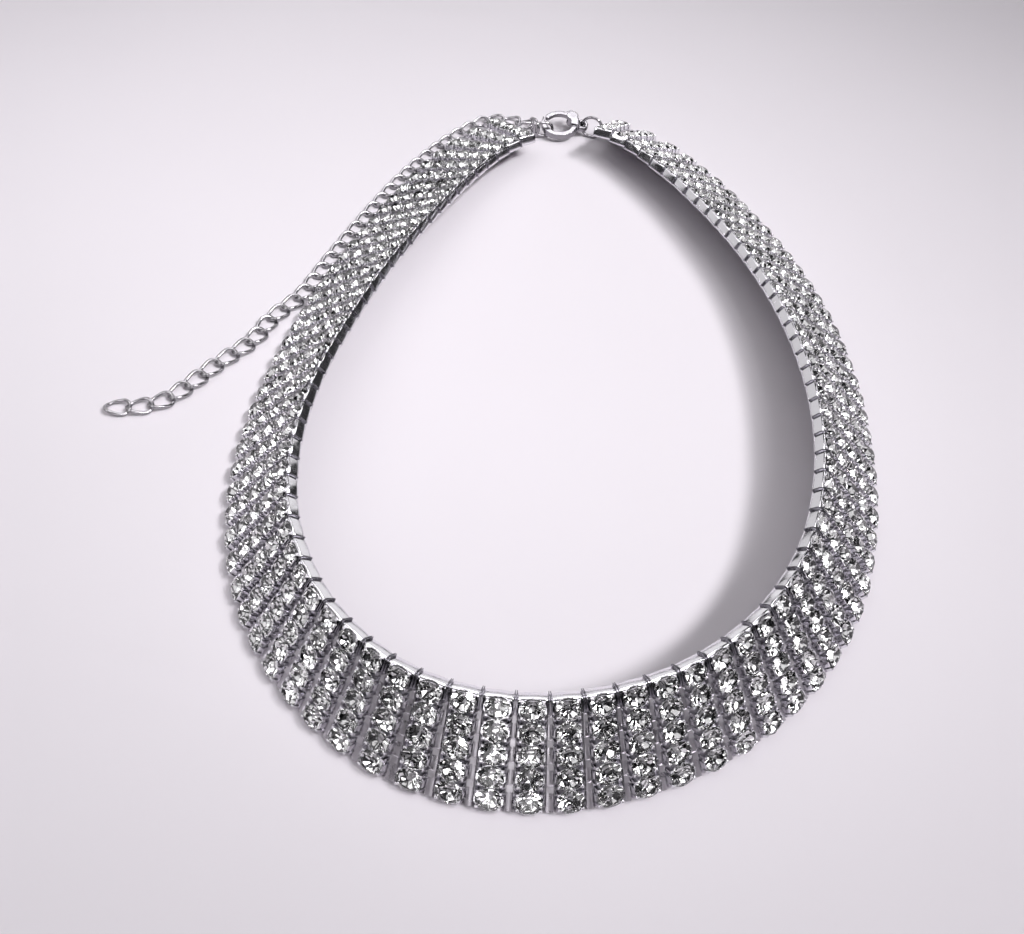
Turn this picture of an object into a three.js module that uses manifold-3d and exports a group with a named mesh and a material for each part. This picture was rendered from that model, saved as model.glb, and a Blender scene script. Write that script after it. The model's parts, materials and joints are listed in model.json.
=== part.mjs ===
import * as THREE from "three";
import { mergeVertices } from "three/addons/utils/BufferGeometryUtils.js";
import Module from "manifold-3d";

// A choker: a wide band of cut stones in upright columns of five, a lobster clasp at the
// back and a free extension chain. Millimetres, +Z up. The band stands like a cone with
// its outer edge on z = 0, where the chain lies too.

const wasm = await Module();
wasm.setup();

// Band
const COLUMNS = 84;
const ROWS = 5;
const COLUMN_LENGTH = 16.2;
const COLUMN_WIDTH = 3.75;
const CUP_DEPTH = 2.2;
const STONE = COLUMN_LENGTH / ROWS;
const CROWN = 0.55;
const TABLE_SHARE = 0.52;
const RAIL_FLOOR = 0.4;
const RAIL_TOP = 1.4;
const RAIL_BITE = 0.12;
const RAIL_END = 0.25;

// Inner edge of the band, seen from above
const LOOP_ACROSS = 80.4;
const LOOP_ALONG = 148.4;
const SPLAYED_COLUMNS = 6;
const LEFT_SPLAY = -15;
const RIGHT_SPLAY = 17;

// Rings and chain
const WIRE = 0.65;
const LINK_LENGTH = 5.0;
const LINK_WIDTH = 3.6;
const CONTACT = 0.58;
const CHAIN_STEP = LINK_LENGTH - WIRE - CONTACT;
const LINK_ROLL = 45;
const END_LOOP_HOLE = 0.9;
const END_LOOP_WIRE = 0.7;
const END_LOOP_REACH = 1.3;
const LEFT_LOOP_SHARE = 0.4;
const RIGHT_LOOP_SHARE = 0.35;

// Clasp, u from the hook to the base ring, v across, w through its thickness
const CLAW_OUTER = 4.1;
const CLAW_INNER = 2.9;
const CLAW_THICKNESS = 1.4;
const HOUSING_THICKNESS = 2.4;
const LEVER_THICKNESS = 1.0;
const PIVOT_ANGLE = 36;
const PIVOT_RADIUS = 3.5;
const PIN_RADIUS = 0.28;
const EYE_HOLE = 0.52;
const EYE_OUTER = 0.95;
const LEVER_TIP_ANGLE = 150;
const CLAW_TIP_ANGLE = 158;
const LEVER_SWING = 25;
const CLEARANCE = 0.25;
const BASE_RING_REACH = 5.0;
const BASE_RING_HOLE = 0.8;
const BASE_RING_OUTER = 1.45;
const BASE_RING_THICKNESS = 1.2;
const CLASP_TILT = 12;
const CLASP_BEYOND = 8.8;
const CLASP_PLACE = new THREE.Vector3(-0.1, LOOP_ALONG + CLASP_BEYOND, 2.45);

// Inner edge from the left end round the front to the right end: shares of
// LOOP_ACROSS from the middle, of LOOP_ALONG from the front, of COLUMN_LENGTH upwards
const edgeSections = [
  { across: -0.070, along: 0.987, height: 0.27 },
  { across: -0.104, along: 0.967, height: 0.28 },
  { across: -0.134, along: 0.946, height: 0.30 },
  { across: -0.162, along: 0.922, height: 0.32 },
  { across: -0.213, along: 0.869, height: 0.36 },
  { across: -0.306, along: 0.752, height: 0.45 },
  { across: -0.383, along: 0.640, height: 0.51 },
  { across: -0.444, along: 0.522, height: 0.58 },
  { across: -0.488, along: 0.403, height: 0.66 },
  { across: -0.499, along: 0.289, height: 0.72 },
  { across: -0.464, along: 0.179, height: 0.78 },
  { across: -0.371, along: 0.083, height: 0.83 },
  { across: -0.221, along: 0.018, height: 0.84 },
  { across: -0.032, along: 0.000, height: 0.84 },
  { across: 0.158, along: 0.028, height: 0.84 },
  { across: 0.314, along: 0.092, height: 0.82 },
  { across: 0.421, along: 0.181, height: 0.78 },
  { across: 0.479, along: 0.285, height: 0.75 },
  { across: 0.500, along: 0.395, height: 0.71 },
  { across: 0.490, along: 0.513, height: 0.63 },
  { across: 0.451, along: 0.632, height: 0.55 },
  { across: 0.383, along: 0.742, height: 0.50 },
  { across: 0.289, along: 0.849, height: 0.46 },
  { across: 0.235, along: 0.897, height: 0.44 },
  { across: 0.208, along: 0.920, height: 0.44 },
  { across: 0.178, along: 0.943, height: 0.43 },
  { across: 0.144, along: 0.963, height: 0.42 },
  { across: 0.105, along: 0.980, height: 0.41 },
  { across: 0.088, along: 0.986, height: 0.41 },
];

// Loose end of the chain, from the hooked link to its tip: x and y in mm from the middle
// and the back end of the inner edge, rise above the height of a lying link
const chainRoute = [
  [-5.0, 6.6, 1.6], [-6.4, 9.6, 0.6], [-10.0, 12.3, 0], [-15.6, 12.9, 0],
  [-20.6, 8.5, 0], [-25.4, 2.1, 0], [-29.7, -5.2, 0], [-33.6, -13.0, 0],
  [-36.9, -20.8, 0], [-39.4, -27.2, 0], [-42.0, -34.2, 0], [-45.4, -43.8, 0],
  [-49.0, -54.0, 0], [-53.2, -60.2, 0], [-55.7, -67.2, 0], [-60.9, -74.0, 0],
  [-65.1, -80.4, 0], [-68.1, -84.2, 0], [-73.2, -86.2, 0], [-78.8, -86.1, 0],
];

const up = new THREE.Vector3(0, 0, 1);
const radians = THREE.MathUtils.degToRad;

// A closed solid from the vertices and faces of a mesh
function solidFrom(geometry) {
  const bare = geometry.clone();
  bare.deleteAttribute("normal");
  bare.deleteAttribute("uv");
  const welded = mergeVertices(bare, 1e-4);
  return new wasm.Manifold(new wasm.Mesh({
    numProp: 3,
    vertProperties: Float32Array.from(welded.attributes.position.array),
    triVerts: Uint32Array.from(welded.index.array),
  }));
}

function geometryOf(points, triangles) {
  const geometry = new THREE.BufferGeometry();
  geometry.setAttribute("position", new THREE.Float32BufferAttribute(points.flat(), 3));
  geometry.setIndex(triangles.flat());
  return geometry;
}

function joined(solids) {
  return solids.reduce((whole, piece) => whole.add(piece));
}

function named(name, solid, material) {
  const mesh = solid.getMesh();
  const geometry = new THREE.BufferGeometry();
  geometry.setAttribute("position", new THREE.Float32BufferAttribute(mesh.vertProperties, 3));
  geometry.setIndex(new THREE.Uint32BufferAttribute(mesh.triVerts, 1));
  geometry.computeVertexNormals();
  const piece = new THREE.Mesh(geometry, material);
  piece.name = name;
  return piece;
}

// Round wire along a closed flat line of points
function wireLoop(points, normal, radius, sides) {
  const vertices = [];
  const triangles = [];
  points.forEach((point, i) => {
    const before = points[(i + points.length - 1) % points.length];
    const after = points[(i + 1) % points.length];
    const outward = after.clone().sub(before).normalize().cross(normal).normalize();
    for (let k = 0; k < sides; k += 1) {
      const turn = (2 * Math.PI * k) / sides;
      const place = point.clone();
      place.addScaledVector(outward, -radius * Math.cos(turn));
      place.addScaledVector(normal, radius * Math.sin(turn));
      vertices.push(place.toArray());
    }
  });
  points.forEach((point, i) => {
    const next = (i + 1) % points.length;
    for (let k = 0; k < sides; k += 1) {
      const l = (k + 1) % sides;
      const [a, b] = [i * sides + k, next * sides + k];
      const [c, d] = [next * sides + l, i * sides + l];
      triangles.push([a, c, b], [a, d, c]);
    }
  });
  return solidFrom(geometryOf(vertices, triangles));
}

// Oval link or ring: two half circles and two straights, ten to twelve sides
function ovalRing(centre, along, across, length, width, wire, arcSteps, sides) {
  const bend = (width - wire) / 2;
  const straight = (length - wire) / 2 - bend;
  const points = [];
  for (const side of [1, -1]) {
    for (let k = 0; k <= arcSteps; k += 1) {
      const turn = -Math.PI / 2 + (Math.PI * k) / arcSteps;
      const point = centre.clone();
      point.addScaledVector(along, side * (straight + bend * Math.cos(turn)));
      point.addScaledVector(across, side * bend * Math.sin(turn));
      points.push(point);
    }
  }
  const normal = along.clone().cross(across).normalize();
  return wireLoop(points, normal, wire / 2, sides);
}

function roundRing(centre, first, second, radius, wire, steps, sides) {
  const points = [];
  for (let k = 0; k < steps; k += 1) {
    const turn = (2 * Math.PI * k) / steps;
    const point = centre.clone();
    point.addScaledVector(first, radius * Math.cos(turn));
    point.addScaledVector(second, radius * Math.sin(turn));
    points.push(point);
  }
  const normal = first.clone().cross(second).normalize();
  return wireLoop(points, normal, wire / 2, sides);
}

// Inner edge of the band, and the frame of a column at a share of the way round:
// along the band, up the column, out of the stones, from the foot of the column's back
const innerEdge = new THREE.CatmullRomCurve3(edgeSections.map((section) => new THREE.Vector3(
  section.across * LOOP_ACROSS,
  section.along * LOOP_ALONG,
  section.height * COLUMN_LENGTH,
)), false, "centripetal");
innerEdge.arcLengthDivisions = 2000;

// Near the two ends the columns splay away from square to the edge
function splay(share) {
  const eased = (columns) => Math.max(0, 1 - columns / SPLAYED_COLUMNS);
  return LEFT_SPLAY * eased(share * COLUMNS) + RIGHT_SPLAY * eased((1 - share) * COLUMNS);
}

function columnFrame(share) {
  const top = innerEdge.getPointAt(share);
  const along = innerEdge.getTangentAt(share).setZ(0).normalize();
  along.applyAxisAngle(up, radians(splay(share)));
  const outward = new THREE.Vector3(along.y, -along.x, 0);
  const rise = top.z / COLUMN_LENGTH;
  const lean = Math.sqrt(1 - rise * rise);
  const upColumn = outward.clone().multiplyScalar(-lean).addScaledVector(up, rise);
  const outOfStones = outward.clone().multiplyScalar(rise).addScaledVector(up, lean);
  const foot = top.clone().addScaledVector(upColumn, -COLUMN_LENGTH);
  return new THREE.Matrix4().makeBasis(along, upColumn, outOfStones).setPosition(foot);
}

// One column: a flat-backed bar of cups, its face filled by five six-sided stones that
// touch edge to edge, each with a square table and eight crown facets
function columnGeometry() {
  const points = [];
  const triangles = [];
  const seen = new Map();
  const at = (x, y, z) => {
    const key = [x, y, z].map((value) => value.toFixed(4)).join(" ");
    if (!seen.has(key)) {
      seen.set(key, points.length);
      points.push([x, y, z]);
    }
    return seen.get(key);
  };
  const fill = (corners, place) => {
    const outline = corners.map(([a, b]) => new THREE.Vector2(a, b));
    for (const face of THREE.ShapeUtils.triangulateShape(outline, [])) {
      triangles.push(face.map((corner) => at(...place(corners[corner]))));
    }
  };
  const half = COLUMN_WIDTH / 2;
  const reach = STONE / 2;
  const bevel = reach / 2;
  const table = reach * TABLE_SHARE;
  const face = (corner) => [corner[0], corner[1], CUP_DEPTH];

  const rightEdge = [[half, 0], [half, COLUMN_LENGTH]];
  for (let row = ROWS - 1; row >= 0; row -= 1) {
    const middle = (row + 0.5) * STONE;
    rightEdge.push([bevel, middle + reach], [reach, middle]);
  }
  rightEdge.push([bevel, 0]);
  fill(rightEdge, face);
  fill(rightEdge.map(([x, y]) => [-x, y]).reverse(), face);

  for (let row = 0; row < ROWS; row += 1) {
    const middle = (row + 0.5) * STONE;
    const [g0, g1, g2, g3, g4, g5] = [
      [reach, 0], [bevel, reach], [-bevel, reach], [-reach, 0], [-bevel, -reach],
      [bevel, -reach],
    ].map(([x, y]) => at(x, middle + y, CUP_DEPTH));
    const [t0, t1, t2, t3] = [
      [table, table], [-table, table], [-table, -table], [table, -table],
    ].map(([x, y]) => at(x, middle + y, CUP_DEPTH + CROWN));
    triangles.push([g0, t0, t3], [g3, t2, t1]);
    triangles.push([g0, g1, t0], [g2, g3, t1], [g3, g4, t2], [g5, g0, t3]);
    triangles.push([g1, g2, t1], [g1, t1, t0], [g4, g5, t3], [g4, t3, t2]);
    triangles.push([t0, t1, t2], [t0, t2, t3]);
  }

  const endWall = [[-half, 0], [half, 0], [half, 1], [bevel, 1], [-bevel, 1], [-half, 1]];
  fill(endWall, ([x, z]) => [x, 0, z * CUP_DEPTH]);
  fill(endWall, ([x, z]) => [-x, COLUMN_LENGTH, z * CUP_DEPTH]);
  const sideWall = [[0, 0], [COLUMN_LENGTH, 0], [COLUMN_LENGTH, CUP_DEPTH], [0, CUP_DEPTH]];
  fill(sideWall, ([y, z]) => [half, y, z]);
  fill(sideWall, ([y, z]) => [-half, COLUMN_LENGTH - y, z]);
  const back = [[-half, 0], [half, 0], [half, COLUMN_LENGTH], [-half, COLUMN_LENGTH]];
  fill(back, ([x, y]) => [-x, y, 0]);
  return geometryOf(points, triangles);
}

// The flat rail that joins two neighbouring columns along their whole length
function rail(before, after) {
  const half = COLUMN_WIDTH / 2;
  const corners = [];
  for (const [frame, x] of [[before, half - RAIL_BITE], [after, RAIL_BITE - half]]) {
    for (const y of [RAIL_END, COLUMN_LENGTH - RAIL_END]) {
      for (const z of [RAIL_FLOOR, RAIL_TOP]) {
        corners.push(new THREE.Vector3(x, y, z).applyMatrix4(frame).toArray());
      }
    }
  }
  const triangles = [
    [0, 1, 3], [0, 3, 2], [4, 7, 5], [4, 6, 7], [0, 4, 5], [0, 5, 1],
    [2, 3, 7], [2, 7, 6], [0, 2, 6], [0, 6, 4], [1, 5, 7], [1, 7, 3],
  ];
  return solidFrom(geometryOf(corners, triangles));
}

// Half of the band: columns, the rails between them and the ring at its free end
function endLoopPlace(frame, side, share) {
  const reach = side * (COLUMN_WIDTH / 2 + END_LOOP_REACH);
  return new THREE.Vector3(reach, COLUMN_LENGTH * share, 0.6).applyMatrix4(frame);
}

function halfBand(first, last, endColumn, side, loopShare) {
  const pieces = [];
  for (let column = first; column <= last; column += 1) {
    const geometry = columnGeometry();
    geometry.applyMatrix4(columnFrame((column + 0.5) / COLUMNS));
    pieces.push(solidFrom(geometry));
    if (column < last) {
      const before = columnFrame((column + 0.5) / COLUMNS);
      pieces.push(rail(before, columnFrame((column + 1.5) / COLUMNS)));
    }
  }
  const frame = columnFrame((endColumn + 0.5) / COLUMNS);
  const [along, upColumn] = [new THREE.Vector3(), new THREE.Vector3()];
  frame.extractBasis(along, upColumn, new THREE.Vector3());
  const radius = END_LOOP_HOLE + END_LOOP_WIRE / 2;
  pieces.push(roundRing(endLoopPlace(frame, side, loopShare), along, upColumn, radius,
    END_LOOP_WIRE, 12, 5));
  return joined(pieces);
}

const leftEnd = columnFrame(0.5 / COLUMNS);
const rightEnd = columnFrame((COLUMNS - 0.5) / COLUMNS);
const leftLoop = endLoopPlace(leftEnd, -1, LEFT_LOOP_SHARE);
const rightLoop = endLoopPlace(rightEnd, 1, RIGHT_LOOP_SHARE);

// Clasp frame
const claspFrame = new THREE.Matrix4().makeRotationX(radians(CLASP_TILT));
claspFrame.setPosition(CLASP_PLACE);

function circlePoints(radius, from, to, steps, u = 0, v = 0) {
  const points = [];
  for (let k = 0; k <= steps; k += 1) {
    const turn = radians(from + ((to - from) * k) / steps);
    points.push(new THREE.Vector2(u + radius * Math.cos(turn), v + radius * Math.sin(turn)));
  }
  return points;
}

// A flat plate of the clasp, centred on its mid plane, with or without a hole
function plate(outline, hole, thickness) {
  const shape = new THREE.Shape(outline);
  if (hole) {
    shape.holes.push(new THREE.Path(hole));
  }
  const geometry = new THREE.ExtrudeGeometry(shape, { depth: thickness, bevelEnabled: false });
  geometry.translate(0, 0, -thickness / 2);
  geometry.applyMatrix4(claspFrame);
  return solidFrom(geometry);
}

function sector(inner, outer, from, to, steps) {
  return [...circlePoints(outer, from, to, steps), ...circlePoints(inner, to, from, steps)];
}

// The lever's farthest corner from its pin
function leverTip() {
  return circlePoints(CLAW_OUTER - 0.1, LEVER_TIP_ANGLE - 4, LEVER_TIP_ANGLE - 4, 1)[0];
}

function claspBody(pivot) {
  const shoulder = plate(sector(2.5, 4.4, -14, PIVOT_ANGLE - 2, 4), null, HOUSING_THICKNESS);
  const cheeks = plate(circlePoints(1.35, 0, 330, 11, pivot.x, pivot.y), null,
    HOUSING_THICKNESS);
  const claw = plate(sector(CLAW_INNER, CLAW_OUTER, CLAW_TIP_ANGLE, 350, 14), null,
    CLAW_THICKNESS);
  const neck = plate([
    new THREE.Vector2(3.2, -1.0), new THREE.Vector2(BASE_RING_REACH - 0.5, -0.75),
    new THREE.Vector2(BASE_RING_REACH - 0.5, 0.75), new THREE.Vector2(3.2, 1.2),
  ], null, BASE_RING_THICKNESS);
  const base = plate(circlePoints(BASE_RING_OUTER, 0, 324, 9, BASE_RING_REACH, 0), null,
    BASE_RING_THICKNESS);
  const baseHole = plate(circlePoints(BASE_RING_HOLE, 0, 324, 9, BASE_RING_REACH, 0), null, 4);
  const slotThickness = LEVER_THICKNESS + 2 * CLEARANCE;
  const slot = plate(sector(2.0, 6.5, PIVOT_ANGLE, LEVER_TIP_ANGLE + 1, 6), null,
    slotThickness);
  const eyeRoom = plate(circlePoints(EYE_OUTER + CLEARANCE, 0, 330, 11, pivot.x, pivot.y),
    null, slotThickness);
  const pin = plate(circlePoints(PIN_RADIUS, 0, 300, 5, pivot.x, pivot.y), null,
    HOUSING_THICKNESS - 0.1);
  const reach = leverTip().distanceTo(pivot) + CLEARANCE;
  const tipRoom = plate([
    ...circlePoints(reach, 168, 183 + LEVER_SWING, 8, pivot.x, pivot.y),
    ...circlePoints(reach - 2, 183 + LEVER_SWING, 168, 8, pivot.x, pivot.y),
  ], null, HOUSING_THICKNESS);
  const shell = joined([shoulder, cheeks, claw, neck, base]);
  return shell.subtract(slot).subtract(eyeRoom).subtract(tipRoom).subtract(baseHole).add(pin);
}

function claspLever(pivot) {
  const arm = plate(sector(CLAW_INNER + 0.05, CLAW_OUTER - 0.1, PIVOT_ANGLE + 4,
    LEVER_TIP_ANGLE - 4, 7), null, LEVER_THICKNESS);
  const thumb = plate([
    new THREE.Vector2(2.3, 3.0), new THREE.Vector2(3.2, 4.2),
    new THREE.Vector2(2.5, 4.5), new THREE.Vector2(1.2, 3.7),
  ], null, LEVER_THICKNESS);
  const eye = plate(circlePoints(EYE_OUTER, 0, 315, 7, pivot.x, pivot.y), null,
    LEVER_THICKNESS);
  const eyeHole = plate(circlePoints(EYE_HOLE, 0, 315, 7, pivot.x, pivot.y), null, 4);
  return arm.add(thumb).add(eye).subtract(eyeHole);
}

const pivot = new THREE.Vector2(
  PIVOT_RADIUS * Math.cos(radians(PIVOT_ANGLE)),
  PIVOT_RADIUS * Math.sin(radians(PIVOT_ANGLE)),
);

// Jump ring between the right end's ring and the clasp's base ring, standing on edge
function jumpRing() {
  const baseHole = new THREE.Vector3(BASE_RING_REACH, 0, 0).applyMatrix4(claspFrame);
  const across = rightLoop.clone().sub(baseHole);
  const centre = baseHole.clone().addScaledVector(across, 0.5);
  const radius = across.length() / 2;
  return roundRing(centre, across.normalize(), up, radius, WIRE, 12, 5);
}

// A link between two joints, rolled about its length from lying flat
function link(from, to, roll, length) {
  const ahead = to.clone().sub(from).normalize();
  const flat = up.clone().cross(ahead).normalize();
  const across = flat.clone().applyAxisAngle(ahead, radians(roll));
  const centre = from.clone().add(to).multiplyScalar(0.5);
  return ovalRing(centre, ahead, across, length, LINK_WIDTH, WIRE, 4, 5);
}

// Extension chain: two links stand on edge from the left end's ring to the claw, and
// the loose end hooks the second of them; its links roll one way and the other in turn
function extensionChain() {
  const hooked = new THREE.Vector3(-1.75, -1.45, 0).applyMatrix4(claspFrame);
  const reach = leftLoop.distanceTo(hooked);
  const hookLength = (reach + CONTACT) / 2 + WIRE;
  const middle = leftLoop.clone().add(hooked).multiplyScalar(0.5);
  const pieces = [
    link(leftLoop, middle, 90, hookLength - 0.001),
    link(middle, hooked, 90, hookLength),
  ];

  const lying = (LINK_WIDTH - WIRE) / 2 * Math.sin(radians(LINK_ROLL)) + WIRE / 2;
  const route = new THREE.CatmullRomCurve3(chainRoute.map(
    ([x, y, rise]) => new THREE.Vector3(x, LOOP_ALONG + y, lying + rise),
  ), false, "centripetal");
  route.arcLengthDivisions = 2000;
  const links = Math.floor(route.getLength() / CHAIN_STEP);
  for (let k = 0; k < links; k += 1) {
    const from = route.getPointAt((k * CHAIN_STEP) / route.getLength());
    const to = route.getPointAt(((k + 1) * CHAIN_STEP) / route.getLength());
    const roll = k === 0 ? 90 : (k % 2 ? LINK_ROLL : -LINK_ROLL);
    pieces.push(link(from, to, roll, LINK_LENGTH));
  }
  return joined(pieces);
}

const stoneMaterial = new THREE.MeshStandardMaterial({
  name: "stones", color: 0xd7dadf, metalness: 0.2, roughness: 0.08,
});
const metalMaterial = new THREE.MeshStandardMaterial({
  name: "silver", color: 0xc9cacc, metalness: 1, roughness: 0.16,
});
const half = COLUMNS / 2;

const choker = new THREE.Group();
choker.name = "stone_choker";
choker.add(
  named("stone_band_left", halfBand(0, half - 1, 0, -1, LEFT_LOOP_SHARE),
    stoneMaterial.clone()),
  named("stone_band_right", halfBand(half, COLUMNS - 1, COLUMNS - 1, 1, RIGHT_LOOP_SHARE),
    stoneMaterial.clone()),
  named("clasp_body", claspBody(pivot), metalMaterial.clone()),
  named("clasp_lever", claspLever(pivot), metalMaterial.clone()),
  named("jump_ring", jumpRing(), metalMaterial.clone()),
  named("extension_chain", extensionChain(), metalMaterial.clone()),
);

// The whole stands over the middle of its own outline
const bounds = new THREE.Box3().setFromObject(choker);
const middle = bounds.getCenter(new THREE.Vector3()).setZ(bounds.min.z);
for (const piece of choker.children) {
  piece.geometry.translate(-middle.x, -middle.y, -middle.z);
}

export default choker;
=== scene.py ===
"""A rhinestone choker with a lobster clasp and an adjusting chain, lying closed on a pale table.

Lengths in the tables and in the sizes below are millimetres. The band is a row of equal
columns of five stones, so one column and one stone are made and then copied round the edge.
"""

import bisect
import json
import math
import random

import bmesh
import bpy
from mathutils import Matrix, Vector

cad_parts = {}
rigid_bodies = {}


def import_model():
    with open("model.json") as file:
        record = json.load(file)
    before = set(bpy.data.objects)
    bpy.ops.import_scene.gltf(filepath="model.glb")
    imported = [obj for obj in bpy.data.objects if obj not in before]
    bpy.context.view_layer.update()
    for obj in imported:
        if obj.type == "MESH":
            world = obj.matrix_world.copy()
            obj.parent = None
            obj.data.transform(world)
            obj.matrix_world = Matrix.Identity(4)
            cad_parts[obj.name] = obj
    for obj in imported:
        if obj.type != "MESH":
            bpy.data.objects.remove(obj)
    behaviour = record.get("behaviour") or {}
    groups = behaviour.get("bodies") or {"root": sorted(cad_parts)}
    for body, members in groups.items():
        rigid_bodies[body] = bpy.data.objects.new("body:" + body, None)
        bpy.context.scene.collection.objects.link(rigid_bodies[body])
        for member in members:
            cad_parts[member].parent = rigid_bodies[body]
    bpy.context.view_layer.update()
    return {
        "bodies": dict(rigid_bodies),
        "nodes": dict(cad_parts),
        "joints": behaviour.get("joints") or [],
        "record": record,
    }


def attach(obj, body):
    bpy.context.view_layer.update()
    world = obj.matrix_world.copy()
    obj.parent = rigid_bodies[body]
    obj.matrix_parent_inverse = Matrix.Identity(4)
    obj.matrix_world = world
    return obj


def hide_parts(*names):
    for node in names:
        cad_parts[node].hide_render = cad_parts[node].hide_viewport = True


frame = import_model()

bpy.ops.object.select_all(action="DESELECT")

MM = 0.001

# The band, as in the part
COLUMNS = 84
ROWS = 5
COLUMN_LENGTH = 16.2
ROW = COLUMN_LENGTH / ROWS
COLUMN_WIDTH = 3.75
LOOP_ACROSS = 80.4
LOOP_ALONG = 148.4
SPLAYED_COLUMNS = 6
LEFT_SPLAY = -15
RIGHT_SPLAY = 17
MIDDLE = Vector((12.3365, -75.9349, 0.0195))

# Stone and setting
STONE_RADIUS = 1.6
GIRDLE_HEIGHT = 2.08
GIRDLE = 0.08
TABLE_HEIGHT = 2.72
CULET_HEIGHT = 1.0
BLOCK_WIDTH = 3.55
BLOCK_HEIGHT = 1.0
CUP_RADIUS = 1.64
CUP_RIM = 2.14
CELL_WIDTH = 3.6
WALL_WIDTH = 4.04
WALL_HEIGHT = 2.05
WALL_REACH = 16.3
WALL_THICKNESS = 0.5
WALL_BULGE = 0.1
WALL_CROWN = 0.08

# The gap between two columns, and how far a column may be drawn narrower or wider for it
GAP = 0.38
GAP_LAP = 0.03
NARROWEST = 0.92
WIDEST = 1.22
RAIL_FLOOR = 0.4
RAIL_TOP = 1.4
PLATE_THICKNESS = 0.1

# Chain and clasp; the chain's middle lies at the lying height
WIRE = 0.65
LINK_LENGTH = 5.0
LINK_WIDTH = 3.85
CONTACT = 0.58
CHAIN_STEP = LINK_LENGTH - WIRE - CONTACT
LINK_TWIST = 24
LYING_HEIGHT = 0.72
END_LOOP_REACH = 1.3
END_LOOP_RADIUS = 1.25
END_LOOP_WIRE = 0.7
LEFT_LOOP_SHARE = 0.4
RIGHT_LOOP_SHARE = 0.35
CLASP_TILT = 12
CLASP_PLACE = Vector((-0.1, LOOP_ALONG + 8.8, 2.45))
BASE_RING_REACH = 5.0
BASE_RING_RADIUS = 1.12
BASE_RING_WIRE = 0.68
CAST_GRAIN = 0.11
CAST_POLISH = 4

# Inner edge: shares of the loop's width from the middle, of its length from the front,
# and of the column's length upwards
EDGE_SECTIONS = [
    # across, along, height
    (-0.070, 0.987, 0.27),
    (-0.104, 0.967, 0.28),
    (-0.134, 0.946, 0.30),
    (-0.162, 0.922, 0.32),
    (-0.213, 0.869, 0.36),
    (-0.306, 0.752, 0.45),
    (-0.383, 0.640, 0.51),
    (-0.444, 0.522, 0.58),
    (-0.488, 0.403, 0.66),
    (-0.499, 0.289, 0.72),
    (-0.464, 0.179, 0.78),
    (-0.371, 0.083, 0.83),
    (-0.221, 0.018, 0.84),
    (-0.032, 0.000, 0.84),
    (0.158, 0.028, 0.84),
    (0.314, 0.092, 0.82),
    (0.421, 0.181, 0.78),
    (0.479, 0.285, 0.75),
    (0.500, 0.395, 0.71),
    (0.490, 0.513, 0.63),
    (0.451, 0.632, 0.55),
    (0.383, 0.742, 0.50),
    (0.289, 0.849, 0.46),
    (0.235, 0.897, 0.44),
    (0.208, 0.920, 0.44),
    (0.178, 0.943, 0.43),
    (0.144, 0.963, 0.42),
    (0.105, 0.980, 0.41),
    (0.088, 0.986, 0.41),
]

# Loose end of the chain: x, y from the loop's far end, and the rise above a lying link
CHAIN_ROUTE = [
    (-5.0, 6.6, 2.25),
    (-6.4, 9.6, 0.95),
    (-10.0, 12.3, 0),
    (-15.6, 12.9, 0),
    (-20.6, 8.5, 0),
    (-25.4, 2.1, 0),
    (-29.7, -5.2, 0),
    (-33.6, -13.0, 0),
    (-36.9, -20.8, 0),
    (-39.4, -27.2, 0),
    (-42.0, -34.2, 0),
    (-45.4, -43.8, 0),
    (-49.0, -54.0, 0),
    (-53.2, -60.2, 0),
    (-55.7, -67.2, 0),
    (-60.9, -74.0, 0),
    (-65.1, -80.4, 0),
    (-68.1, -84.2, 0),
    (-73.2, -86.2, 0),
    (-78.8, -86.1, 0),
]


# ---- Camera ----


def set_camera():
    place = Vector((4.7046, -161.3201, 144.83)) * MM
    looked_at = Vector((4.7046, -23.3901, 0)) * MM
    back = (place - looked_at).normalized()
    right = Vector((0, 0, 1)).cross(back).normalized()
    level = Matrix((right, back.cross(right), back)).transposed()
    tilt = Matrix.Rotation(math.radians(2.36), 3, "Z")
    lens = bpy.data.cameras.new("camera")
    lens.lens = 1200 / 1024 * 36
    lens.sensor_width = 36
    lens.clip_start = 0.01
    lens.clip_end = 20
    camera = bpy.data.objects.new("camera", lens)
    camera.matrix_world = Matrix.Translation(place) @ (level @ tilt).to_4x4()
    bpy.context.scene.collection.objects.link(camera)
    bpy.context.scene.camera = camera


set_camera()


# ---- Lines and places ----


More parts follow.
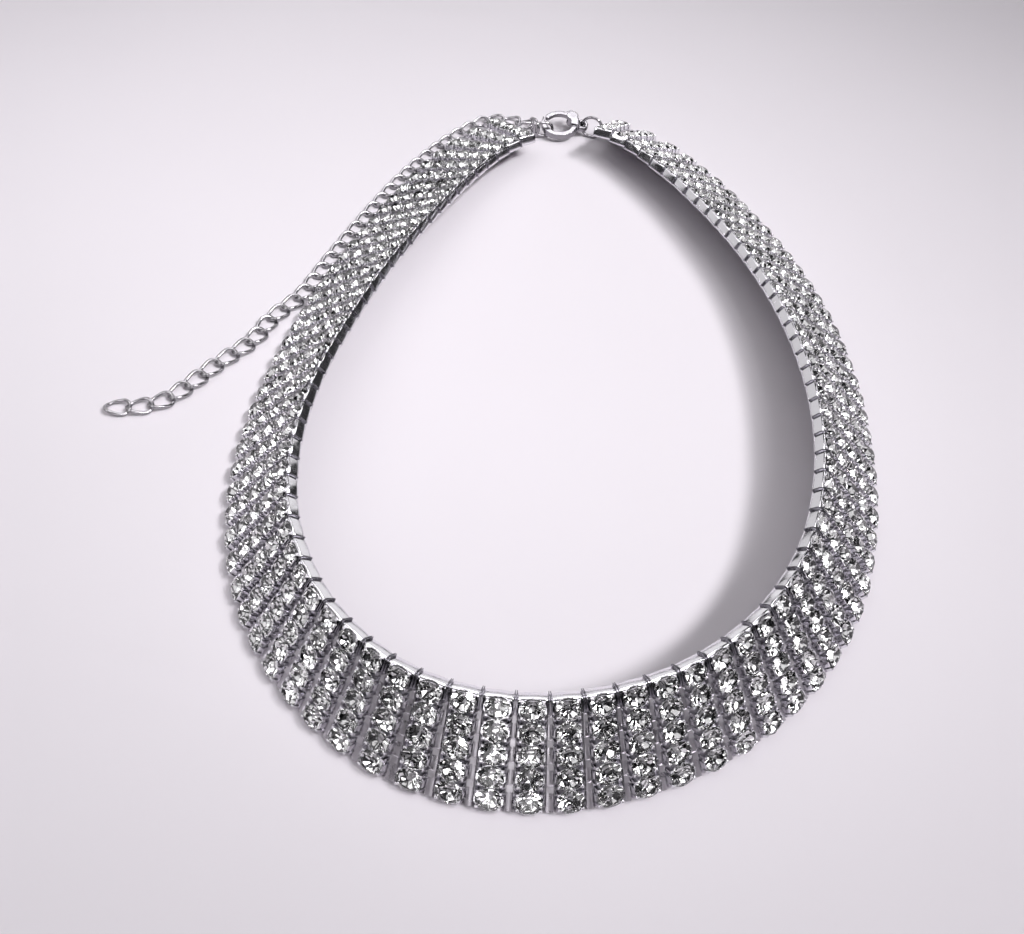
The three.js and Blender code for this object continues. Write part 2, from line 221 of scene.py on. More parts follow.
class SmoothLine:
    """The smooth line through the chosen points, walked by shares of its length"""

    def __init__(self, points):
        whole = [points[0] * 2 - points[1], *points, points[-1] * 2 - points[-2]]
        self.spans = []
        for p0, p1, p2, p3 in zip(whole, whole[1:], whole[2:], whole[3:]):
            d0 = math.sqrt((p1 - p0).length)
            d1 = math.sqrt((p2 - p1).length)
            d2 = math.sqrt((p3 - p2).length)
            leave = ((p1 - p0) / d0 - (p2 - p0) / (d0 + d1) + (p2 - p1) / d1) * d1
            arrive = ((p2 - p1) / d1 - (p3 - p1) / (d1 + d2) + (p3 - p2) / d2) * d1
            square = (p2 - p1) * 3 - leave * 2 - arrive
            cube = (p1 - p2) * 2 + leave + arrive
            self.spans.append((p1, leave, square, cube))
        self.steps = 2000
        self.walked = [0.0]
        last = self.point(0)
        for k in range(1, self.steps + 1):
            here = self.point(k / self.steps)
            self.walked.append(self.walked[-1] + (here - last).length)
            last = here
        self.length = self.walked[-1]

    def point(self, t):
        place = min(max(t, 0.0), 1.0) * len(self.spans)
        k = min(int(place), len(self.spans) - 1)
        w = place - k
        start, leave, square, cube = self.spans[k]
        return start + leave * w + square * w**2 + cube * w**3

    def reached(self, share):
        goal = share * self.length
        k = min(max(bisect.bisect_right(self.walked, goal) - 1, 0), self.steps - 1)
        part = (goal - self.walked[k]) / (self.walked[k + 1] - self.walked[k])
        return (k + part) / self.steps

    def at(self, share):
        return self.point(self.reached(share))

    def ahead(self, share):
        t = self.reached(share)
        return (self.point(t + 0.0001) - self.point(t - 0.0001)).normalized()


inner_edge = SmoothLine(
    [
        Vector((across * LOOP_ACROSS, along * LOOP_ALONG, height * COLUMN_LENGTH))
        for across, along, height in EDGE_SECTIONS
    ]
)


def splay(share):
    left = max(0, 1 - share * COLUMNS / SPLAYED_COLUMNS)
    right = max(0, 1 - (1 - share) * COLUMNS / SPLAYED_COLUMNS)
    return LEFT_SPLAY * left + RIGHT_SPLAY * right


def column_frame(share):
    """Frame of a column in mm: along the band, up the column, out of the stones"""
    top = inner_edge.at(share)
    along = inner_edge.ahead(share)
    along.z = 0
    along.normalize()
    along.rotate(Matrix.Rotation(math.radians(splay(share)), 3, "Z"))
    outward = Vector((along.y, -along.x, 0))
    rise = top.z / COLUMN_LENGTH
    lean = math.sqrt(1 - rise * rise)
    up_column = -lean * outward + Vector((0, 0, rise))
    out_of_stones = rise * outward + Vector((0, 0, lean))
    foot = top - COLUMN_LENGTH * up_column
    turned = Matrix((along, up_column, out_of_stones)).transposed().to_4x4()
    return Matrix.Translation(foot) @ turned


def placed(frame_in_mm):
    """The same frame in metres, where the part stands"""
    moved = Matrix.Translation(MIDDLE) @ frame_in_mm
    moved.translation *= MM
    return moved


# ---- Shaping ----


def named(name):
    piece = bpy.context.object
    piece.name = name
    piece.data.name = name
    return piece


def choose(kind, wanted):
    """In edit mode, selects the vertices, edges or faces that are wanted"""
    bpy.ops.mesh.select_mode(type=kind)
    bpy.ops.mesh.select_all(action="DESELECT")
    shape = bmesh.from_edit_mesh(bpy.context.object.data)
    parts = {"VERT": shape.verts, "EDGE": shape.edges, "FACE": shape.faces}[kind]
    for part in parts:
        if wanted(part):
            part.select_set(True)
    bmesh.update_edit_mesh(bpy.context.object.data)


def take(*pieces):
    bpy.ops.object.select_all(action="DESELECT")
    for piece in pieces:
        piece.select_set(True)
    bpy.context.view_layer.objects.active = pieces[0]


def join(pieces, name):
    take(*pieces)
    bpy.ops.object.join()
    piece = named(name)
    bpy.ops.object.select_all(action="DESELECT")
    return piece


def copy_to(piece, place):
    """A copy with its own mesh, moved in its mesh"""
    twin = piece.copy()
    twin.data = piece.data.copy()
    twin.data.transform(place)
    bpy.context.scene.collection.objects.link(twin)
    return twin


def discard(*pieces):
    for piece in pieces:
        mesh = piece.data
        bpy.data.objects.remove(piece)
        bpy.data.meshes.remove(mesh)


def settle():
    """Puts the object's place and size into its mesh"""
    bpy.ops.object.transform_apply(location=True, rotation=True, scale=True)


# ---- Finishes ----


def new_material(name):
    material = bpy.data.materials.new(name)
    material.use_nodes = True
    nodes = material.node_tree.nodes
    shader = next(node for node in nodes if node.type == "BSDF_PRINCIPLED")
    return material, nodes, material.node_tree.links, shader


def handling_marks():
    """Fine marks of handling: a roughness between two values, and a height for bump"""
    group = bpy.data.node_groups.new("handling marks", "ShaderNodeTree")
    for label, default in (("Polished", 0.1), ("Rubbed", 0.3), ("Scale", 900.0)):
        socket = group.interface.new_socket(label, in_out="INPUT", socket_type="NodeSocketFloat")
        socket.default_value = default
    group.interface.new_socket("Roughness", in_out="OUTPUT", socket_type="NodeSocketFloat")
    group.interface.new_socket("Height", in_out="OUTPUT", socket_type="NodeSocketFloat")
    nodes, links = group.nodes, group.links
    given = nodes.new("NodeGroupInput")
    result = nodes.new("NodeGroupOutput")
    place = nodes.new("ShaderNodeTexCoord")
    clouds = nodes.new("ShaderNodeTexNoise")
    clouds.inputs["Detail"].default_value = 4
    spread = nodes.new("ShaderNodeMapRange")
    spread.inputs["From Min"].default_value = 0.35
    spread.inputs["From Max"].default_value = 0.65
    links.new(place.outputs["Object"], clouds.inputs["Vector"])
    links.new(given.outputs["Scale"], clouds.inputs["Scale"])
    links.new(clouds.outputs["Fac"], spread.inputs["Value"])
    links.new(given.outputs["Polished"], spread.inputs["To Min"])
    links.new(given.outputs["Rubbed"], spread.inputs["To Max"])
    links.new(spread.outputs["Result"], result.inputs["Roughness"])
    links.new(clouds.outputs["Fac"], result.inputs["Height"])
    return group


marks = handling_marks()


def silver_finish(name, colour, polished, rubbed, scale):
    material, nodes, links, shader = new_material(name)
    worn = nodes.new("ShaderNodeGroup")
    worn.node_tree = marks
    worn.inputs["Polished"].default_value = polished
    worn.inputs["Rubbed"].default_value = rubbed
    worn.inputs["Scale"].default_value = scale
    relief = nodes.new("ShaderNodeBump")
    relief.inputs["Strength"].default_value = 0.15
    relief.inputs["Distance"].default_value = 0.00003
    shader.inputs["Base Color"].default_value = (*colour, 1)
    shader.inputs["Metallic"].default_value = 1
    links.new(worn.outputs["Roughness"], shader.inputs["Roughness"])
    links.new(worn.outputs["Height"], relief.inputs["Height"])
    links.new(relief.outputs["Normal"], shader.inputs["Normal"])
    return material


def clear_glass():
    material, nodes, links, shader = new_material("clear stone")
    shader.inputs["Base Color"].default_value = (1, 1, 1, 1)
    shader.inputs["Roughness"].default_value = 0
    shader.inputs["IOR"].default_value = 1.56
    shader.inputs["Transmission Weight"].default_value = 1
    return material


def silver_foil():
    """The mirror behind each stone, a little darker in some stones than in others"""
    material, nodes, links, shader = new_material("foil")
    place = nodes.new("ShaderNodeTexCoord")
    patches = nodes.new("ShaderNodeTexVoronoi")
    patches.inputs["Scale"].default_value = 420
    shade = nodes.new("ShaderNodeMapRange")
    shade.inputs["To Min"].default_value = 0.72
    shade.inputs["To Max"].default_value = 0.98
    tint = nodes.new("ShaderNodeCombineColor")
    links.new(place.outputs["Object"], patches.inputs["Vector"])
    links.new(patches.outputs["Color"], shade.inputs["Value"])
    for channel in ("Red", "Green", "Blue"):
        links.new(shade.outputs["Result"], tint.inputs[channel])
    links.new(tint.outputs["Color"], shader.inputs["Base Color"])
    shader.inputs["Metallic"].default_value = 1
    shader.inputs["Roughness"].default_value = 0.04
    return material


def table_top():
    """Matt and pale, with faint clouds"""
    material, nodes, links, shader = new_material("pale table")
    place = nodes.new("ShaderNodeTexCoord")
    clouds = nodes.new("ShaderNodeTexNoise")
    clouds.inputs["Scale"].default_value = 9
    clouds.inputs["Detail"].default_value = 3
    tones = nodes.new("ShaderNodeValToRGB")
    tones.color_ramp.elements[0].position = 0.35
    tones.color_ramp.elements[0].color = (0.80, 0.765, 0.81, 1)
    tones.color_ramp.elements[1].position = 0.65
    tones.color_ramp.elements[1].color = (0.82, 0.785, 0.83, 1)
    links.new(place.outputs["Object"], clouds.inputs["Vector"])
    links.new(clouds.outputs["Fac"], tones.inputs["Fac"])
    links.new(tones.outputs["Color"], shader.inputs["Base Color"])
    shader.inputs["Roughness"].default_value = 0.9
    shader.inputs["Specular IOR Level"].default_value = 0
    return material


SILVER = silver_finish("setting silver", (0.80, 0.79, 0.82), 0.08, 0.22, 900)
# Painted shade: the rails are the setting's silver drawn darker, for the shade in the gaps between
# the columns
RAIL_SILVER_PAINTED_SHADE = silver_finish("rail silver", (0.50, 0.48, 0.51), 0.24, 0.42, 700)
# Painted shade: the tabs between the rows are darker silver too, a little lighter than the rails
TAB_SILVER_PAINTED_SHADE = silver_finish("tab silver", (0.58, 0.56, 0.59), 0.30, 0.46, 800)
# Painted shade: the link plates are silver drawn very dark, for the dark lines between the columns
PLATE_SILVER_PAINTED_SHADE = silver_finish("link plate silver", (0.27, 0.26, 0.29), 0.18, 0.34, 900)
# Painted shade: the block under the cups is silver drawn darker, so the gaps around the stones read
# dark
BLOCK_SILVER_PAINTED_SHADE = silver_finish("silver under the stones", (0.46, 0.45, 0.47), 0.25, 0.45, 900)
CHAIN_SILVER = silver_finish("chain silver", (0.38, 0.37, 0.39), 0.08, 0.20, 1100)
CLASP_SILVER = silver_finish("clasp silver", (0.30, 0.29, 0.31), 0.12, 0.26, 700)
GLASS = clear_glass()
FOIL = silver_foil()
TABLE = table_top()


def finished(piece, material, angle):
    """Normals outwards, flat faces flat, and the finish"""
    take(piece)
    bpy.ops.object.mode_set(mode="EDIT")
    bpy.ops.mesh.select_all(action="SELECT")
    bpy.ops.mesh.normals_make_consistent(inside=False)
    bpy.ops.object.mode_set(mode="OBJECT")
    bpy.ops.object.shade_smooth_by_angle(angle=math.radians(angle))
    piece.data.materials.clear()
    piece.data.materials.append(material)
    return piece


# ---- Stone ----


def cut(turn, slope, point):
    """Grinds one facet: a plane that leans out by the slope, through a point (reach, height)"""
    reach, height = point
    direction = Vector((math.cos(turn), math.sin(turn), 0))
    normal = direction * math.sin(slope) + Vector((0, 0, math.cos(slope)))
    bpy.ops.mesh.select_all(action="SELECT")
    bpy.ops.mesh.bisect(
        plane_co=(direction * reach + Vector((0, 0, height))) * MM,
        plane_no=normal,
        use_fill=True,
        clear_outer=True,
    )


def brilliant():
    """A round stone: table, eight crown facets, sixteen girdle facets and eight back facets"""
    bpy.ops.mesh.primitive_cylinder_add(
        vertices=16,
        radius=STONE_RADIUS * MM,
        depth=(TABLE_HEIGHT - CULET_HEIGHT) * MM,
        location=(0, 0, (TABLE_HEIGHT + CULET_HEIGHT) / 2 * MM),
        rotation=(0, 0, math.pi / 16),
    )
    stone = named("stone")
    settle()
    bpy.ops.object.mode_set(mode="EDIT")
    for k in range(8):
        cut(math.pi / 4 * k, math.radians(41), (STONE_RADIUS * 0.985, GIRDLE_HEIGHT + GIRDLE))
    for k in range(8):
        cut(math.pi / 4 * (k + 0.5), math.radians(180 - 40), (STONE_RADIUS, GIRDLE_HEIGHT))
    bpy.ops.object.mode_set(mode="OBJECT")
    stone.data.materials.append(GLASS)
    stone.data.materials.append(FOIL)
    for face in stone.data.polygons:
        face.material_index = 1 if face.center.z < (GIRDLE_HEIGHT + GIRDLE * 0.3) * MM else 0
        face.use_smooth = False
    return stone


# ---- Setting ----


def bar(name, low, high):
    """A straight bar between two corners, in mm"""
    bpy.ops.mesh.primitive_cube_add(size=MM)
    piece = named(name)
    piece.scale = [h - l for l, h in zip(low, high)]
    piece.location = [(l + h) / 2 * MM for l, h in zip(low, high)]
    settle()
    return piece


def runs_along(edge, axis):
    """Whether an edge is parallel to x, y or z (0, 1 or 2)"""
    way = edge.verts[1].co - edge.verts[0].co
    return abs(way[axis]) > 0.99 * way.length


def cup():
    """The round wall that holds one stone"""
    bpy.ops.mesh.primitive_cylinder_add(
        vertices=20,
        radius=CUP_RADIUS * MM,
        depth=(CUP_RIM - BLOCK_HEIGHT + 0.1) * MM,
        location=(0, ROW / 2 * MM, (CUP_RIM + BLOCK_HEIGHT - 0.1) / 2 * MM),
        end_fill_type="NGON",
    )
    piece = named("cup")
    settle()
    bpy.ops.object.mode_set(mode="EDIT")
    choose("FACE", lambda face: face.normal.z < -0.9)
    bpy.ops.mesh.delete(type="FACE")
    choose("FACE", lambda face: face.normal.z > 0.9)
    bpy.ops.mesh.inset(thickness=0.11 * MM)
    bpy.ops.mesh.extrude_region_move(
        TRANSFORM_OT_translate={"value": (0, 0, -0.35 * MM)}
    )
    bpy.ops.mesh.delete(type="FACE")
    bpy.ops.object.mode_set(mode="OBJECT")
    return piece


def prong(side, end):
    """One claw, standing between two cups and leaning over its stone"""
    x, y = 1.45 * side, ROW / 2 + 1.24 * end
    piece = bar("prong", (x - 0.24, y - 0.24, 0.95), (x + 0.24, y + 0.24, 2.44))
    bpy.ops.object.mode_set(mode="EDIT")
    choose("FACE", lambda face: face.normal.z < -0.9)
    bpy.ops.mesh.delete(type="FACE")
    choose("FACE", lambda face: face.normal.z > 0.9)
    bpy.ops.transform.resize(value=(0.75, 0.75, 1))
    bpy.ops.transform.translate(value=(-0.22 * side * MM, -0.18 * end * MM, 0))
    choose("EDGE", lambda edge: all(v.co.z > 2.3 * MM for v in edge.verts))
    bpy.ops.mesh.bevel(offset=0.11 * MM, segments=1, affect="EDGES")
    bpy.ops.object.mode_set(mode="OBJECT")
    return piece


def clip(side):
    """The upright at the side of a cup, its top bent towards the stone"""
    y = ROW / 2
    low, high = sorted((1.54 * side, 1.78 * side))
    piece = bar("clip", (low, y - 0.62, 0.95), (high, y + 0.62, 2.3))
    bpy.ops.object.mode_set(mode="EDIT")
    choose("FACE", lambda face: face.normal.z < -0.9)
    bpy.ops.mesh.delete(type="FACE")
    choose("FACE", lambda face: face.normal.z > 0.9)
    bpy.ops.transform.resize(value=(1, 0.62, 1))
    bpy.ops.transform.translate(value=(-0.16 * side * MM, 0, 0))
    bpy.ops.object.mode_set(mode="OBJECT")
    return piece


def block():
    """The bar under five cups, rounded at its foot"""
    side = BLOCK_WIDTH / 2
    piece = bar("block", (-side, 0.02, 0), (side, COLUMN_LENGTH - 0.2, BLOCK_HEIGHT))
    bpy.ops.object.mode_set(mode="EDIT")
    choose("EDGE", lambda e: runs_along(e, 2) and e.verts[0].co.y < 0.1 * MM)
    bpy.ops.mesh.bevel(offset=0.7 * MM, segments=4, affect="EDGES")
    choose("EDGE", lambda e: runs_along(e, 1) and e.verts[0].co.z > 0.5 * MM)
    bpy.ops.mesh.bevel(offset=0.12 * MM, segments=2, affect="EDGES")
    bpy.ops.object.mode_set(mode="OBJECT")
    return piece


def inner_wall():
    """The wall at the column's inner end, faintly bulged, its rim rounded"""
    side = WALL_WIDTH / 2
    edge = WALL_REACH - WALL_BULGE
    piece = bar("inner wall", (-side, edge - WALL_THICKNESS, 0), (side, edge, WALL_HEIGHT))
    bpy.ops.object.mode_set(mode="EDIT")
    choose("EDGE", lambda e: runs_along(e, 1) and e.verts[0].co.z > 1.5 * MM)
    bpy.ops.mesh.bevel(offset=0.3 * MM, segments=2, affect="EDGES")
    choose("FACE", lambda face: face.normal.y > 0.9)
    bpy.ops.mesh.region_to_loop()
    bpy.ops.mesh.bevel(offset=0.25 * MM, segments=3, affect="EDGES")
    for share in (-0.66, -0.33, 0, 0.33, 0.66):
        bpy.ops.mesh.select_all(action="SELECT")
        bpy.ops.mesh.bisect(plane_co=(share * side * MM, 0, 0), plane_no=(1, 0, 0))
    for share in (0.25, 0.5, 0.75, 0.9):
        bpy.ops.mesh.select_all(action="SELECT")
        bpy.ops.mesh.bisect(plane_co=(0, 0, share * WALL_HEIGHT * MM), plane_no=(0, 0, 1))
    bpy.ops.object.mode_set(mode="OBJECT")
    for vertex in piece.data.vertices:
        across = vertex.co.x / (side * MM)
        up = 2 * vertex.co.z / (WALL_HEIGHT * MM) - 1
        vertex.co.y += (WALL_BULGE * (1 - across**2) - WALL_CROWN * up**2) * MM
    return piece


def column_setting():
    """Metal of one column"""
    claws = [prong(side, end) for side in (-1, 1) for end in (-1, 1)]
    one_cup = join([cup(), *claws, clip(-1), clip(1)], "cup")
    take(one_cup)
    row = one_cup.modifiers.new("rows", "ARRAY")
    row.count = ROWS
    row.use_relative_offset = False
    row.use_constant_offset = True
    row.constant_offset_displace = (0, ROW * MM, 0)
    bpy.ops.object.modifier_apply(modifier=row.name)
    shown = finished(join([one_cup, inner_wall()], "column setting"), SILVER, 35)
    # The block's darker silver is painted shade under and between the cups
    return join([shown, finished(block(), BLOCK_SILVER_PAINTED_SHADE, 35)], "column setting")


# ---- Between the columns ----


def rail():
    """The bar in the gap between two columns, with a tab at each row's end; both are coloured
    darker silver as painted shade in the gap
    """
    side = GAP / 2
    low = (-side, -0.1, RAIL_FLOOR)
    long_bar = bar("rail", low, (side, COLUMN_LENGTH - 0.2, RAIL_TOP))
    bpy.ops.object.mode_set(mode="EDIT")
    choose("EDGE", lambda e: runs_along(e, 1) and e.verts[0].co.z > 1.2 * MM)
    bpy.ops.mesh.bevel(offset=0.13 * MM, segments=2, affect="EDGES")
    choose("EDGE", lambda e: runs_along(e, 2) and e.verts[0].co.y < 0)
    bpy.ops.mesh.bevel(offset=0.3 * MM, segments=3, affect="EDGES")
    bpy.ops.object.mode_set(mode="OBJECT")
    finished(long_bar, RAIL_SILVER_PAINTED_SHADE, 35)
    tabs = []
    for k in range(1, ROWS):
        y = ROW * k
        low = (-side * 0.9, y - 0.5, RAIL_TOP - 0.1)
        tabs.append(bar("tab", low, (side * 0.9, y + 0.5, RAIL_TOP + 0.16)))
        finished(tabs[-1], TAB_SILVER_PAINTED_SHADE, 35)
    return join([long_bar, *tabs], "rail")


def link_plate(side):
    """One of the twin plates that link two columns at the inner edge; its very dark silver is
    painted shade between the columns
    """
    x = side * 0.11
    thick = PLATE_THICKNESS / 2
    low = (x - thick, COLUMN_LENGTH - 2.4, 0.3)
    piece = bar("link plate", low, (x + thick, COLUMN_LENGTH + 0.3, 2.2))
    bpy.ops.object.mode_set(mode="EDIT")
    choose("EDGE", lambda e: runs_along(e, 0) and e.verts[0].co.z > 2 * MM)
    bpy.ops.mesh.bevel(offset=0.6 * MM, segments=3, affect="EDGES")
    bpy.ops.object.mode_set(mode="OBJECT")
    return finished(piece, PLATE_SILVER_PAINTED_SHADE, 35)


def spread(frames, column):
    """How much wider than drawn a column is at its foot and at its inner end"""
    shares = []
    for y in (0, COLUMN_LENGTH):
        here = frames[column] @ Vector((0, y, 1))
        beside = [frames[n] for n in (column - 1, column + 1) if 0 <= n < COLUMNS]
        pitch = sum((frame @ Vector((0, y, 1)) - here).length for frame in beside) / len(beside)
        shares.append(min(max((pitch - GAP) / CELL_WIDTH, NARROWEST), WIDEST))
    return shares


def share_at(shares, y):
    return shares[0] + (shares[1] - shares[0]) * y / COLUMN_LENGTH


def widened(piece, shares, place):
    """A copy as wide as its column"""
    twin = copy_to(piece, Matrix.Identity(4))
    for vertex in twin.data.vertices:
        vertex.co.x *= share_at(shares, vertex.co.y / MM)
    twin.data.transform(place)
    return twin


def stretch_between(piece, before, after, shares_before, shares_after):
    """A copy whose width runs from one column's side to the next one's"""
    twin = copy_to(piece, Matrix.Identity(4))
    side = CELL_WIDTH / 2 - GAP_LAP
    for vertex in twin.data.vertices:
        x, y, z = vertex.co / MM
        from_side = before @ Vector((side * share_at(shares_before, y), y, z)) + MIDDLE
        to_side = after @ Vector((-side * share_at(shares_after, y), y, z)) + MIDDLE
        vertex.co = from_side.lerp(to_side, x / GAP + 0.5) * MM
    return twin


def band():
    """Both halves of the band: the settings and the stones"""
    setting = column_setting()
    stone = brilliant()
    between = join([rail(), link_plate(-1), link_plate(1)], "between")
    chance = random.Random(4)
    half = COLUMNS // 2
    frames = [column_frame((k + 0.5) / COLUMNS) for k in range(COLUMNS)]
    spreads = [spread(frames, k) for k in range(COLUMNS)]
    halves = {}
    for side, first in (("left", 0), ("right", half)):
        settings, stones = [], []
        for column in range(first, first + half):
            place = placed(frames[column])
            settings.append(widened(setting, spreads[column], place))
            if column < COLUMNS - 1:
                pair = (*frames[column : column + 2], *spreads[column : column + 2])
                settings.append(stretch_between(between, *pair))
            for row in range(ROWS):
                seat = Matrix.Translation((0, (row + 0.5) * ROW * MM, 0))
                girdle = Matrix.Translation((0, 0, GIRDLE_HEIGHT * MM))
                lean = Matrix.Rotation(math.radians(chance.uniform(-3, 3)), 4, "X")
                lean = lean @ Matrix.Rotation(math.radians(chance.uniform(-3, 3)), 4, "Y")
                spin = Matrix.Rotation(chance.uniform(0, math.tau), 4, "Z")
                turn = girdle @ lean @ girdle.inverted() @ spin
                wide = share_at(spreads[column], (row + 0.5) * ROW)
                size = Matrix.Diagonal((wide, 1.02, 1, 1))
                stones.append(copy_to(stone, place @ seat @ size @ turn))
        halves[side] = join(settings, "settings_" + side), join(stones, "stones_" + side)
    discard(setting, stone, between)
    return halves


# ---- Rings and links ----


def wire_loop(points, wire, name, sides=10):
    """Round wire along a closed line of points, as one smooth ring"""
    line = bpy.data.curves.new(name, "CURVE")
    line.dimensions = "3D"
    line.bevel_depth = wire / 2 * MM
    line.bevel_resolution = max(0, sides // 4)
    spline = line.splines.new("POLY")
    spline.points.add(len(points) - 1)
    for knot, point in zip(spline.points, points):
        knot.co = (*(point + MIDDLE) * MM, 1)
    spline.use_cyclic_u = True
    piece = bpy.data.objects.new(name, line)
    bpy.context.scene.collection.objects.link(piece)
    take(piece)
    bpy.ops.object.convert(target="MESH")
    piece = named(name)
    bpy.ops.object.shade_smooth()
    return piece


def oval(centre, along, across, length, width, wire, steps=10):
    bend = (width - wire) / 2
    straight = (length - wire) / 2 - bend
    points = []
    for side in (1, -1):
        for k in range(steps + 1):
            turn = -math.pi / 2 + math.pi * k / steps
            reach = side * (straight + bend * math.cos(turn))
            points.append(centre + along * reach + across * side * bend * math.sin(turn))
    return points


def circle(centre, first, second, radius, steps=28):
    turns = [math.tau * k / steps for k in range(steps)]
    return [centre + first * radius * math.cos(t) + second * radius * math.sin(t) for t in turns]


clasp_frame = Matrix.Translation(CLASP_PLACE) @ Matrix.Rotation(math.radians(CLASP_TILT), 4, "X")
left_end = column_frame(0.5 / COLUMNS)
right_end = column_frame((COLUMNS - 0.5) / COLUMNS)


def loop_place(end, side, share):
    reach = side * (COLUMN_WIDTH / 2 + END_LOOP_REACH)
    return end @ Vector((reach, COLUMN_LENGTH * share, 0.6))


left_loop = loop_place(left_end, -1, LEFT_LOOP_SHARE)
right_loop = loop_place(right_end, 1, RIGHT_LOOP_SHARE)


def end_ring(end, centre, name):
    axes = end.to_3x3()
    return wire_loop(circle(centre, axes.col[0], axes.col[1], END_LOOP_RADIUS), END_LOOP_WIRE, name)


def link(start, end, roll, length, twist=0):
    """One oval link; the twist turns its two ends against each other"""
    centre = (start + end) / 2
    ahead = (end - start).normalized()
    across = Vector((0, 0, 1)).cross(ahead).normalized()
    across.rotate(Matrix.Rotation(math.radians(roll), 3, ahead))
    points = []
    for point in oval(centre, ahead, across, length, LINK_WIDTH, WIRE):
        arm = point - centre
        share = arm.dot(ahead) / ((length - WIRE) / 2)
        arm.rotate(Matrix.Rotation(math.radians(twist * share), 3, ahead))
        points.append(centre + arm)
    return wire_loop(points, WIRE, "link")


def extension_chain():
    hooked = clasp_frame @ Vector((-1.75, -1.45, 0))
    hook_length = ((left_loop - hooked).length + CONTACT) / 2 + WIRE
    middle = (left_loop + hooked) / 2
    links = [
        link(left_loop, middle, 90, hook_length - 0.001),
        link(middle, hooked, 90, hook_length),
    ]
    route = SmoothLine(
        [Vector((x, LOOP_ALONG + y, LYING_HEIGHT + rise)) for x, y, rise in CHAIN_ROUTE]
    )
    count = int(route.length / CHAIN_STEP)
    for k in range(count):
        start = route.at(k * CHAIN_STEP / route.length)
        end = route.at((k + 1) * CHAIN_STEP / route.length)
        roll, twist = (90, 0) if k == 0 else (0, LINK_TWIST)
        links.append(link(start, end, roll, LINK_LENGTH, twist))
    return join(links, "chain_links")


# ---- Clasp ----


def jump_ring():
    """The upright ring between the clasp's base ring and the band's right end"""
    base = clasp_frame @ Vector((BASE_RING_REACH, 0, 0))
    across = right_loop - base
    centre = base + across / 2
    return wire_loop(
        circle(centre, across.normalized(), Vector((0, 0, 1)), across.length / 2),
        WIRE,
        "jump_ring_wire",
        16,
    )


def cast_from(node, name, extra=()):
    """The solid's form as a casting with its edges rounded and polished"""
    piece = bpy.data.objects.new(name, bpy.data.objects[node].data.copy())
    bpy.context.scene.collection.objects.link(piece)
    piece.data.materials.clear()
    take(piece)
    bpy.ops.object.mode_set(mode="EDIT")
    bpy.ops.mesh.select_all(action="SELECT")
    bpy.ops.mesh.remove_doubles(threshold=0.001 * MM)
    bpy.ops.mesh.normals_make_consistent(inside=False)
    bpy.ops.object.mode_set(mode="OBJECT")
    if extra:
        piece = join([piece, *extra], name)
    take(piece)
    skin = piece.modifiers.new("skin", "REMESH")
    skin.mode = "VOXEL"
    skin.voxel_size = CAST_GRAIN * MM
    skin.use_smooth_shade = True
    bpy.ops.object.modifier_apply(modifier=skin.name)
    polish = piece.modifiers.new("polish", "SMOOTH")
    polish.factor = 0.5
    polish.iterations = CAST_POLISH
    bpy.ops.object.modifier_apply(modifier=polish.name)
    return piece


def base_ring():
    axes = clasp_frame.to_3x3()
    centre = clasp_frame @ Vector((BASE_RING_REACH, 0, 0))
    line = circle(centre, axes.col[0], axes.col[1], BASE_RING_RADIUS)
    return wire_loop(line, BASE_RING_WIRE, "base ring", 16)


def ring_piece(name, thickness, corners):
    """A short length of the clasp's ring, from its corners: inner and outer reach and angle,
    first at one end and then at the other"""
    (inner, outer, start), (far_inner, far_outer, end) = corners
    piece = bar(name, (0, 0, -thickness / 2), (1, 1, thickness / 2))
    for vertex in piece.data.vertices:
        across, share = vertex.co.x / MM, vertex.co.y / MM
        low = inner + (far_inner - inner) * share
        high = outer + (far_outer - outer) * share
        reach, turn = low + (high - low) * across, math.radians(start + (end - start) * share)
        place = Vector((reach * math.cos(turn), reach * math.sin(turn), vertex.co.z / MM))
        vertex.co = (clasp_frame @ place + MIDDLE) * MM
    return piece


def claw_nose():
    """The claw's pointed end, just outside the lever's swing"""
    return ring_piece("nose", 1.2, ((3.96, 4.3, 152.5), (3.69, 4.15, 161)))


def lever_end():
    """The lever's last part, which lies against the nose"""
    return ring_piece("lever end", 0.95, ((3.0, 3.98, 143), (3.0, 3.7, 151.5)))


# ---- The object ----

halves = band()
for side, end, centre in (("left", left_end, left_loop), ("right", right_end, right_loop)):
    settings, stones = halves[side]
    ring = end_ring(end, centre, "ring")
    ring.data.materials.append(SILVER)
    settings = join([settings, ring], "settings_" + side)
    node = "stone_band_" + side
    for piece, name in ((settings, "silver"), (stones, "stones")):
        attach(piece, "choker")
    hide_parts(node)
    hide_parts(node)

chain = extension_chain()
chain.data.materials.append(CHAIN_SILVER)
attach(chain, "choker")
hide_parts("extension_chain")

clasp = cast_from("clasp_body", "lobster_claw", [base_ring(), claw_nose()])
lever = cast_from("clasp_lever", "claw_lever", [lever_end()])
ring = jump_ring()
for piece, node, body in (
    (clasp, "clasp_body", "choker"),
    (lever, "clasp_lever", "lever"),
    (ring, "jump_ring", "choker"),
):
    piece.data.materials.clear()
    piece.data.materials.append(CLASP_SILVER)
    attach(piece, body)
    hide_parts(node)


# ---- Table and light ----


def table():
    bpy.ops.mesh.primitive_plane_add(size=6, location=(0, 0, 0))
    top = named("table")
    settle()
    top.data.materials.append(TABLE)


PALE = (1, 0.985, 1)
KEY_HEIGHT = 52.5
KEY_DISTANCE = 1.6
KEY_AIM = (-0.02, 0.03, 0)
SOFTBOX_DISTANCE = 1.5


def direction(azimuth, elevation):
    """Towards a light; azimuth from +X towards +Y"""
    a, e = math.radians(azimuth), math.radians(elevation)
    return Vector((math.cos(a) * math.cos(e), math.sin(a) * math.cos(e), math.sin(e)))


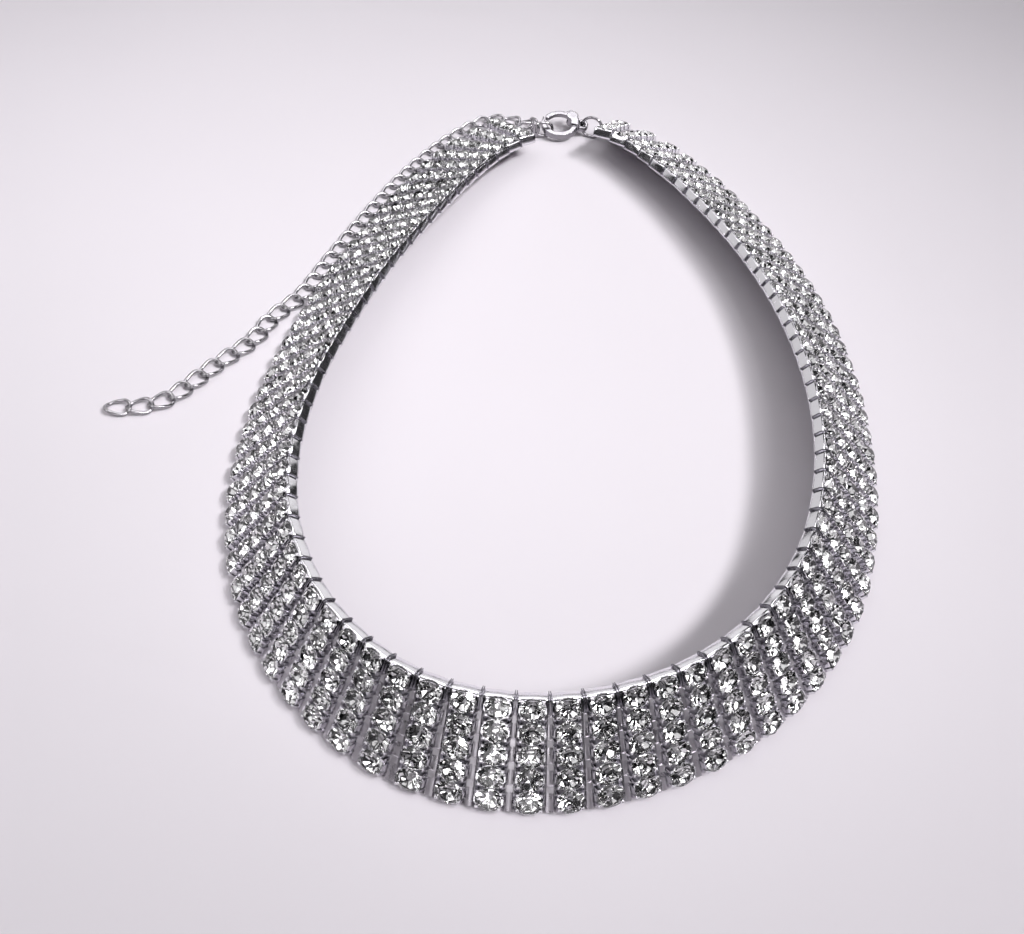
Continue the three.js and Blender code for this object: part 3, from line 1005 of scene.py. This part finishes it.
def place_lamp(lamp, azimuth, elevation, distance, aim=(0, 0, 0)):
    towards = direction(azimuth, elevation)
    holder = bpy.data.objects.new(lamp.name, lamp)
    holder.rotation_mode = "QUATERNION"
    holder.location = Vector(aim) + towards * distance
    holder.rotation_quaternion = towards.to_track_quat("Z", "Y")
    bpy.context.scene.collection.objects.link(holder)
    return holder


def key_lamps():
    """Four soft lamps side by side that light the table and fall off towards its edges"""
    for azimuth, watts in ((-64, 15), (-46, 27), (-30, 36), (-14, 34)):
        lamp = bpy.data.lights.new("key", "SPOT")
        lamp.energy = watts
        lamp.color = PALE
        lamp.shadow_soft_size = 0.14
        lamp.spot_size = math.radians(17)
        lamp.spot_blend = 1
        place_lamp(lamp, azimuth, KEY_HEIGHT, KEY_DISTANCE, KEY_AIM)


def softbox(name, azimuth, elevation, width, glow, lights_table=False):
    """A round softbox 1.5 m away, as bright as the glow; most only show in stones and silver"""
    lamp = bpy.data.lights.new(name, "AREA")
    lamp.shape = "DISK"
    lamp.size = width
    lamp.energy = glow * math.pi * math.pi * width * width / 4
    lamp.color = PALE
    holder = place_lamp(lamp, azimuth, elevation, SOFTBOX_DISTANCE)
    holder.visible_camera = False
    if not lights_table:
        holder.visible_diffuse = False


table()
key_lamps()
softbox("overhead", 170, 75, 2.6, 0.78, lights_table=True)
softbox("back left wall", 140, 18, 1.8, 0.7)
softbox("left window", -155, 30, 0.62, 3.2)
softbox("right window", -10, 25, 0.6, 3.4)
softbox("far window", 92, 62, 0.8, 3.4)
softbox("back wall", 80, 10, 1.5, 0.9)
softbox("near window", -120, 60, 0.5, 3.4)
softbox("near strip", -95, 12, 0.5, 2.6)
softbox("right spark", 50, 33, 0.24, 6)
world = bpy.data.worlds.new("room")
world.use_nodes = True
world.node_tree.nodes["Background"].inputs["Color"].default_value = (0.95, 0.93, 0.98, 1)
world.node_tree.nodes["Background"].inputs["Strength"].default_value = 0.035
bpy.context.scene.world = world
bpy.context.scene.view_settings.view_transform = "Standard"
